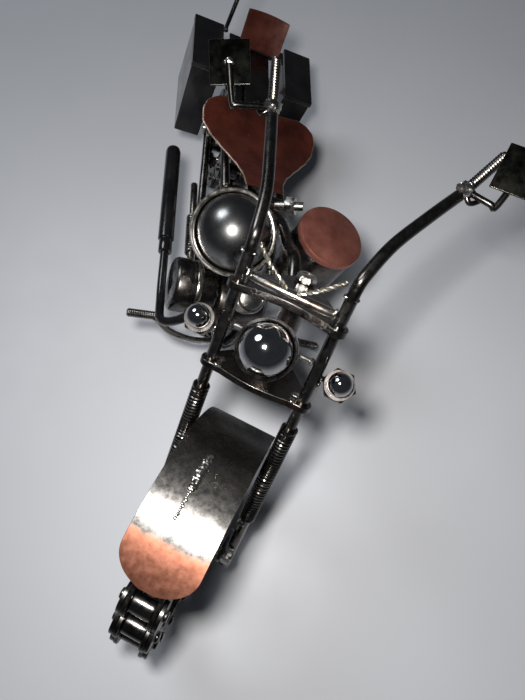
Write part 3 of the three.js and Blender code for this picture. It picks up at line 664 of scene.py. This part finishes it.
# ---- handlebars ----
for side, d in SIDES:
    x = d * LEG_X
    joint = V((d * 33, 113.7, 138))
    along = V((d * 0.38, 0.87, 0.32)).normalized()
    path = smooth_path([fork(x, 108), fork(x, 111.5), fork(d * 17.2, 115.5, LEG_E - 1.5),
                        V((d * 20.5, 84, 136.2)), V((d * 26.5, 98.5, 137.6)), V((d * 32, 111.3, 138))], 8)
    front(f"bar_{side}", [sweep(path, 1.95, 24)], STEEL, (f"handlebar_{side}",), "steel")
    knee = joint + V((10.5, -1.5, 1.2) if d > 0 else (-12, -5.2, 1))
    top = joint + V((11.7, 3, 11.7) if d > 0 else (-17.2, 1.8, 9.2))
    lever = joint + along * 6 + V((d * 4.5, -3.2, -3))
    stem = smooth_path([joint + along, knee - V((d * 2, 0, 0)), knee, top - V((0, 0.2, 0.5))], 8)
    hand = smooth_path([joint + along, joint + V((d * 3.2, -1.5, -1.6)), lever], 8)
    taper = [0.85 - 0.5 * max(0.0, k / len(hand) - 0.6) for k in range(len(hand))]
    front(f"bar_control_arm_{side}", [sweep(stem, 1.05, 16), sweep(hand, taper, 14)], COILS,
          (f"bar_control_{side}",), "bright")
    front(f"bar_joint_welds_{side}", [lump(joint + along * 1.0 + V((d * a, b, c)), r, along, 0.8)
                                      for a, b, c, r in ((0, 0, 0, 2.9), (1.6, 0.8, -0.6, 1.7),
                                                         (-1.0, -1.6, 0.9, 1.9), (0.6, 1.6, 1.0, 1.5))],
          WELD, (), "bright")
    g0, g1 = joint + along * 2.2, joint + along * 18.4
    front(f"grip_thread_{side}", [thread(g0, g1, 1.8, 1.0, 0.36)], THREADS, (f"grip_bolt_{side}",), "bright")
    mn = V((d * -0.18, -0.62, 0.76)).normalized()
    edge = V((1, 0, 0) if d > 0 else (0.89, 0.43, 0.13))
    bx = (edge - mn * mn.dot(edge)).normalized()
    by = bx.cross(mn)
    mc = top + mn * (0.85 if d > 0 else -1.7)
    front(f"mirror_plate_{side}", [cuboid(mc, bx, by, mn, 12.9, 13.4, 1.05)], PLATE,
          (f"mirror_{side}",), "steel", bevel=0.25)
    front(f"mirror_weld_{side}", weld_run([mc + mn * (0.7 * -d) + bx * a for a in (-0.7, 0.8)], 1.1, mn)
          + weld_run([top - mn * 0.2], 1.5, mn), WELD, (), "bright")

# ---- twisted control cables, held at both ends ----
for side, d in SIDES:
    pts = smooth_path([fork(d * 13.6, 113, LEG_E + 2.9), fork(d * 8, 108.4, LEG_E + 4.4),
                       fork(d * 1.9, 103.5, LEG_E + 2.6)], 34)
    strands = []
    for phase in (0.0, math.pi):
        line = []
        u, _ = frame_of(pts[1] - pts[0])
        for i, p in enumerate(pts):
            t = (pts[min(i + 1, len(pts) - 1)] - pts[max(i - 1, 0)]).normalized()
            u = (u - t * u.dot(t)).normalized()
            w = t.cross(u)
            ang = phase + i * 0.42
            line.append(p + (u * math.cos(ang) + w * math.sin(ang)) * 0.42)
        strands.append(sweep(line, 0.42, 8))
    front(f"twisted_cable_{side}", strands, WIRE, (f"control_cable_{side}",), "wire")

# ---- main frame ----
RAIL_X, SHOCK_X = 13.5, 20.5
spine = smooth_path([fork(0, 84, STEM_E), V((0.5, 92, 100)), V((2.7, 104, 92)), V((2.7, 122, 84)),
                     V((0.5, 136, 71)), V((0, 150, 62.5))], 10)
down = smooth_path([fork(0, 75, STEM_E), V((0, 76, 80)), V((0, 80, 55)), V((0, 84, 34)),
                    V((0, 92, 20.5))], 10)
tubes = [lathe([(2.6, 70.6), (4.1, 70.6), (4.3, 70.8), (4.3, 94.2), (4.1, 94.4), (2.6, 94.4), (2.6, 70.6)],
               fork(0, 0, STEM_E), A, 32),
         sweep(spine, 2.4, 24), sweep(down, 2.2, 24),
         rod(V((-RAIL_X, 149, 62.5)), V((RAIL_X, 149, 62.5)), 2.2, 20),
         rod(V((-RAIL_X, 130, 20.8)), V((RAIL_X, 130, 20.8)), 1.8, 20)]
joint_welds = weld_run([V((0, 92, 20.5)) + V((a, b, 0)) for a, b in ((-1.6, 1), (1.6, 1), (0, -1))], 2.6, Z)
for _, d in SIDES:
    tubes.append(rod(V((d * RAIL_X, 149, 62.5)), V((d * RAIL_X, 205, 58)), 2.0, 20))
    rail = smooth_path([V((0, 92, 20.5)), V((d * 8, 100, 19)), V((d * RAIL_X, 116, 19.5)),
                        V((d * RAIL_X, 150, 22)),
                        V((d * RAIL_X, 190, 27.5)), V((d * RAIL_X, REAR_Y + 3, REAR_R))], 8)
    tubes.append(sweep(rail, 2.0, 20))
    tubes.append(rod(V((d * RAIL_X, 152, 62)), V((d * RAIL_X, 163, 23.5)), 1.7, 18))
    tubes.append(rod(V((d * RAIL_X, 196, 58.6)), V((d * RAIL_X, REAR_Y, REAR_R)), 1.7, 18))
    tubes.append(lathe([(1.9, -2), (3.8, -2), (4.0, -1.8), (4.0, 1.8), (3.8, 2), (1.9, 2), (1.9, -2)],
                       V((d * 13.6, REAR_Y, REAR_R)), X, 28))
    for p in (V((d * RAIL_X, 149, 62.5)), V((d * RAIL_X, 152.4, 60.4)), V((d * RAIL_X, 162.6, 25.2)),
              V((d * RAIL_X, 196.5, 57.2)), V((d * RAIL_X, 209, 33.8)), V((d * RAIL_X, 130, 20.8))):
        joint_welds += weld_run([p + V((0, a, 0)) for a in (-1.2, 1.2)], 2.0, X, 0.9)
rear("frame_tubes", tubes, STEEL, ("main_frame",), "steel")
rear("frame_joint_welds", joint_welds, WELD, (), "bright")
rear("rear_axle_bolt", [rod(V((-16.8, REAR_Y, REAR_R)), V((16.8, REAR_Y, REAR_R)), 1.6, 20)], BRIGHT,
     ("rear_axle",), "bright")

# ---- tank: ball in a cup, capped drum ----
TANK = V((-15.6, 112.7, 80.7))
rear("tank_steel_ball", [ball(TANK, BALL_R, 80, 50)], SATIN, ("tank_ball",), "ball_steel")
rear("tank_ball_cup", [lathe([(0, -19), (6.6, -18.7), (7.4, -18.4), (12.4, -14.8), (13.0, -14.0),
                              (16.1, -7.8), (16.5, -7.0), (17.25, -1.0),
                              (17.3, 0.7), (17.0, 1.15), (16.2, 1.2),
                              (15.6, 0.9), (15.3, 0.2), (15.2, -1.5), (13.5, -7.0), (9.0, -12.4), (0, -15.4)],
                             TANK, V((-0.12, -0.46, 0.88)), 72)], RINGS, ("tank_cup",), "bright")
DRUM = V((19.4, 111, 72))
rear("tank_side_drum", [lathe([(0, -9), (7.6, -8.2), (8.4, -7.8), (11.8, -4.3), (12.3, -3.6), (13.1, 0.4),
                               (DRUM_R, 1.2), (DRUM_R, 20.6), (12.9, 21), (0, 21)], DRUM, Z, 64)],
     STEEL, ("tank_drum",), "steel")
rear("tank_copper_cap", [lathe([(0, 21.3), (13.2, 21.3), (13.6, 21.6), (13.7, 22.0), (13.7, 23.3),
                                (13.5, 23.9), (13.0, 24.2), (0, 24.3)],
                                DRUM, Z, 72)], COPPER, ("tank_cap",), "copper")
rear("tank_welds",
     weld_run([V((3.2, 108 + a, 89.5 + b)) for a, b in ((0, 0), (3.5, -1.5), (7, -3.2))], 2.4, Z)
     + weld_run([V((5.2, 112, 86)), V((5.4, 116.5, 84.5))], 1.9, Z), WELD, (), "bright")

# ---- seat, back rest, rack ----
SEAT = [(143, 8.6), (149, 9.2), (155, 11.5), (161, 15.5), (167, 20), (173, 24.2), (179, 27.2), (185, 27.8),
        (189, 26.6), (192, 23.2), (193.6, 18)]


SEAT_FRONT, SEAT_SPAN, SEAT_SQUEEZE = 143, 50.6, 0.945


def seat_half(y):
    """Half the saddle's width at y, eased between the listed stations."""
    for (y0, h0), (y1, h1) in zip(SEAT, SEAT[1:]):
        if y <= y1:
            f = (y - y0) / (y1 - y0)
            f = f * f * (3 - 2 * f) * 0.35 + f * 0.65
            return h0 + f * (h1 - h0)
    return SEAT[-1][1]


def seat_at(u, v):
    y = SEAT_FRONT + SEAT_SPAN * u
    z = 75 - 7.6 * math.sin(min(1, u * 1.25) * math.pi / 2) + 4.2 * max(0, u - 0.72) / 0.28
    return V(((2 * v - 1) * seat_half(y), SEAT_FRONT + (y - SEAT_FRONT) * SEAT_SQUEEZE,
              z + 1.6 * (2 * v - 1) ** 2 * u))


rear("saddle_sheet", [slab(seat_at, lambda u, v: Z, 1.3, 56, 24)], LACQUER, ("saddle",), "lacquer", bevel=0.3)
rim = [seat_at(u, 0) + V((0, 0, 0.65)) for u in [k / 40 for k in range(41)]]
rim += [seat_at(1, v) + V((0, 0, 0.65)) for v in [k / 16 for k in range(1, 16)]]
rim += [seat_at(u, 1) + V((0, 0, 0.65)) for u in [1 - k / 40 for k in range(41)]]
rear("saddle_bright_edge", [sweep(rim, 0.42, 10)], RIM, (), "lacquer")
bolt_axis = V((6.4, -1.5, 4.5)).normalized()
rear("seat_nose_bolt", [nut(V((8.2, 134, 79)), bolt_axis, 4.1, 4.2, 1.9),
                        rod(V((4.4, 135, 76.3)), V((14.4, 132.6, 83.4)), 1.9, 24)], BRIGHT, ("seat_bolt",),
     "bright", sharp=25)
back_out = V((0, -1, 0.4)).normalized()


def back_at(u, v):
    return V(((2 * v - 1) * 10.9, 236.5 + 7.5 * u + 1.5 * (1 - (2 * v - 1) ** 2), 67.2 + 15.5 * u))


rear("back_rest_sheet", [slab(back_at, lambda u, v: back_out, 1.25, 20, 20)],
     LACQUER, ("back_rest",), "lacquer", bevel=0.3)
rear("rack_plate", [cuboid(V((0, 218, 66.1)), X, Y, Z, 12.9, 37.9, 1.15),
                    cuboid(V((0, 240.2, 66.1)), X, Y, Z, 29.9, 7.9, 1.15)],
     STEEL, ("rack",), "steel", bevel=0.25)
rear("rear_fender_sheet", [slab(lambda u, v: arc_at(32 + 128 * u, REAR_R + 2.4, (2 * v - 1) * 10.6, HUB),
                                lambda u, v: arc_at(32 + 128 * u, 1, 0, HUB) - HUB, SHEET_T, 60, 8)],
     STEEL, ("rear_fender",), "steel", bevel=0.2)


# ---- side boxes: tapered, wider and shorter at the top ----
BOX_X, BOX_OUT_LOW, BOX_OUT_HIGH = 17.4, 30.6, 32.2
BOX_FRONT_LOW, BOX_FRONT_HIGH, BOX_BACK = 213, 219, 252
BOX_LOW, BOX_HIGH, LIP_Z = 24, 61, 61.2


def box_shell(d):
    """The tapered body: corners from inside to outside, bottom to top."""
    def at(xf, yf, zf):
        x = BOX_X + xf * ((BOX_OUT_HIGH if zf else BOX_OUT_LOW) - BOX_X)
        y = BOX_BACK if yf else (BOX_FRONT_HIGH if zf else BOX_FRONT_LOW)
        return V((d * x, y, BOX_HIGH if zf else BOX_LOW))
    verts = [at(a, b, c) for c in (0, 1) for b in (0, 1) for a in (0, 1)]
    faces = [(0, 2, 3, 1), (4, 5, 7, 6), (0, 1, 5, 4), (2, 6, 7, 3), (0, 4, 6, 2), (1, 3, 7, 5)]
    return verts, faces if d > 0 else [tuple(reversed(f)) for f in faces]


for side, d in SIDES:
    rear(f"box_body_{side}", [box_shell(d)], BLACK, (f"side_box_{side}",), "black", bevel=0.5)
    rear(f"box_lid_{side}", [cuboid(V((d * 24.9, 235.4, 62.6)), X, Y, Z, 15.5, 34.3, 2.5)], BLACK,
         (f"side_box_lid_{side}",), "black", bevel=0.45)
    lip = [V((d * 17.6, 218.9, LIP_Z)), V((d * 32.3, 218.9, LIP_Z)), V((d * 32.3, BOX_BACK, LIP_Z))]
    rear(f"box_lip_{side}", [sweep(lip[:2], 0.32, 10), sweep(lip[1:], 0.32, 10)], STEEL, (), "steel")
rear("antenna_rod", [rod(V((-15, 256, 58)), V((-15, 256, 103.5)), 1.1, 18),
                     ball(V((-15, 256, 104)), 1.5, 24, 14),
                     rod(V((-15, 256, 61)), V((-15, 252.2, 61)), 0.9, 12)], STEEL, ("antenna",), "steel")

# ---- engine ----
CASE = V((0, 106, 40))
rear("engine_round_case", [lathe([(0, -12.6), (9.6, -12.6), (10.4, -12.3), (12.9, -10.4), (13.2, -9.8),
                                  (13.2, 9.8), (12.9, 10.4),
                                  (10.4, 12.3), (9.6, 12.6), (0, 12.6)], CASE, X, 56)],
     STEEL, ("engine_case",), "steel")
rear("engine_side_drum", [lathe([(0, 13), (11, 13), (11.6, 13.4), (11.9, 14.2), (11.9, 23.4), (11.6, 23.7),
                                 (11.6, 24.6), (11.9, 24.9), (11.9, 29.4), (11.6, 30.3), (10.8, 31),
                                 (2.6, 31), (2.2, 30.7), (2.2, 29.2), (0, 29.2)], V((0, 105, 46)), -X, 56)],
     STEEL, ("side_drum",), "steel")
rear("engine_drum_band", [lathe([(11.95, 20.0), (12.15, 20.3), (12.15, 22.0), (11.95, 22.3)],
                                V((0, 105, 46)), -X, 56)], RINGS, (), "bright")
for name, lean in (("cylinder_front", -24), ("cylinder_rear", 24)):
    axis = V((0, math.sin(rad(lean)), math.cos(rad(lean))))
    core = lathe([(0, 14.2), (4.8, 14.2), (4.8, 23.2), (4.2, 23.6), (0, 23.6)], CASE, axis, 36)
    rear(f"{name}_coil", [core, helix(CASE + axis * 14.9, CASE + axis * 23, 5.6, 0.82, 4.2, 12, 36)], BRIGHT,
         (name,), "bright")
run = smooth_path([V((-21, 91, 58)), V((-27, 86, 52)), V((-33.5, 88, 44)), V((-33.8, 100, 40)),
                   V((-33.6, 118, 39.5)), V((-33.4, 134, 39.4))], 8)
dome = [V((-33.4, 181 + 3.6 * math.sin(rad(t)), 40.5)) for t in (30, 60, 90)]
rear("exhaust_pipe", [sweep(run, 1.9, 20), rod(V((-33.4, 124, 39.4)), V((-33.4, 131, 39.5)), 3.0, 28),
                      sweep([V((-33.4, 130.4, 39.5)), V((-33.4, 131.1, 39.5)), V((-33.4, 181, 40.5))] + dome,
                            [2.9, 3.6, 3.6, 3.12, 1.8, 0.1], 32)], BLACK, ("exhaust",), "black")

# ---- foot bolts, shocks and the stand ----
for side, d in SIDES:
    arm = smooth_path([V((d * 34.2, 94.8, 33)), V((d * 27, 90, 30.5)), V((d * 15, 89.5, 26.5)),
                       V((d * 5.5, 92, 23.8))], 8)
    rear(f"foot_thread_{side}", [thread(V((d * 33.6, 94.9, 33)), V((d * 46.3, 94.2, 33)), 2.0, 0.95)],
         THREADS,
         (f"foot_bolt_{side}",), "bright")
    rear(f"foot_arm_{side}", [sweep(arm, 1.5, 18)], BRIGHT, (), "bright")
    rear(f"foot_weld_{side}", weld_run([V((d * 34.0, 94.8, 32.6)), V((d * 32.6, 93.6, 32.0))], 2.0, X),
         WELD, (), "bright")
    s0, s1 = V((d * SHOCK_X, 129, 36)), V((d * SHOCK_X, 150, 36))
    rear(f"shock_{side}", [helix(s0, s1, 2.55, 0.52, 15), rod(V((d * SHOCK_X, 126, 36)), s1, 1.7, 18),
                           rod(s1, V((d * SHOCK_X, 170, 35)), 1.7, 20)],
         THREADS, (f"rear_shock_{side}",), "bright")
stand = frame["nodes"]["side_stand"]
stand.data.materials.clear()
stand.data.materials.append(STEEL)

# ---- floor, light and camera ----
CAM_FROM_REAR_AXLE = V((0.020789, -0.231893, 0.227433))
CAM_AT = REAR_AXLE_AT + CAM_FROM_REAR_AXLE
CAM_LENS, CAM_ELEVATION, CAM_ROLL, CAM_TURN = 28.23, 65.7786, -2.4835, 2.1651
SENSOR_HEIGHT, CLIP_START = 36.0, 0.005
FLOOR_HALF, FLOOR_DROP = 4.0, 0.0002
KEY_FROM_CAMERA = V((-0.020, 0.022, 0.012))
WORLD_COLOUR, WORLD_STRENGTH = (0.075, 0.08, 0.09, 1), 0.55


def floor_material():
    m, nt, b = nodes_of("pale_floor")
    co = nt.nodes.new("ShaderNodeTexCoord").outputs["Object"]
    broad = noise(nt, co, 3.0, 3.0)
    nt.links.new(ramp(nt, broad, [(0.3, (0.47, 0.475, 0.50)), (0.7, (0.52, 0.525, 0.55))]),
                 b.inputs["Base Color"])
    nt.links.new(ramp(nt, noise(nt, co, 40.0), grey(0.40, 0.50)), b.inputs["Roughness"])
    b.inputs["Specular IOR Level"].default_value = 0.30
    return m


me = bpy.data.meshes.new("floor")
me.from_pydata([(a * FLOOR_HALF, b * FLOOR_HALF, 0) for a, b in ((-1, -1), (1, -1), (1, 1), (-1, 1))],
               [], [(0, 1, 2, 3)])
me.materials.append(floor_material())
floor = bpy.data.objects.new("floor", me)
bpy.context.scene.collection.objects.link(floor)
floor.location = (0, 0, -FLOOR_DROP)


def area(name, loc, target, size, power, color):
    data = bpy.data.lights.new(name, "AREA")
    data.shape = "DISK"
    data.size = size
    data.energy = power
    data.color = color
    ob = bpy.data.objects.new(name, data)
    bpy.context.scene.collection.objects.link(ob)
    ob.location = loc
    ob.rotation_euler = (V(target) - V(loc)).to_track_quat("-Z", "Y").to_euler()


area("key_by_camera", CAM_AT + KEY_FROM_CAMERA, (0, 0, 0.03), 0.030, 0.80, (1.0, 0.985, 0.96))
area("soft_top", (-0.55, 0.45, 1.0), (0, 0, 0), 0.5, 5.0, (0.90, 0.95, 1.0))

bpy.context.scene.view_settings.view_transform = "Standard"
world = bpy.data.worlds.new("studio")
world.use_nodes = True
world.node_tree.nodes["Background"].inputs["Color"].default_value = WORLD_COLOUR
world.node_tree.nodes["Background"].inputs["Strength"].default_value = WORLD_STRENGTH
bpy.context.scene.world = world

cam = bpy.data.cameras.new("camera")
cam.sensor_fit = "VERTICAL"
cam.sensor_height = SENSOR_HEIGHT
cam.lens = CAM_LENS
cam.clip_start = CLIP_START
cam_ob = bpy.data.objects.new("camera", cam)
bpy.context.scene.collection.objects.link(cam_ob)
cam_ob.matrix_world = (Matrix.Translation(CAM_AT) @ Matrix.Rotation(rad(CAM_TURN), 4, "Z")
                       @ Matrix.Rotation(rad(90 - CAM_ELEVATION), 4, "X")
                       @ Matrix.Rotation(rad(CAM_ROLL), 4, "Z"))
bpy.context.scene.camera = cam_ob
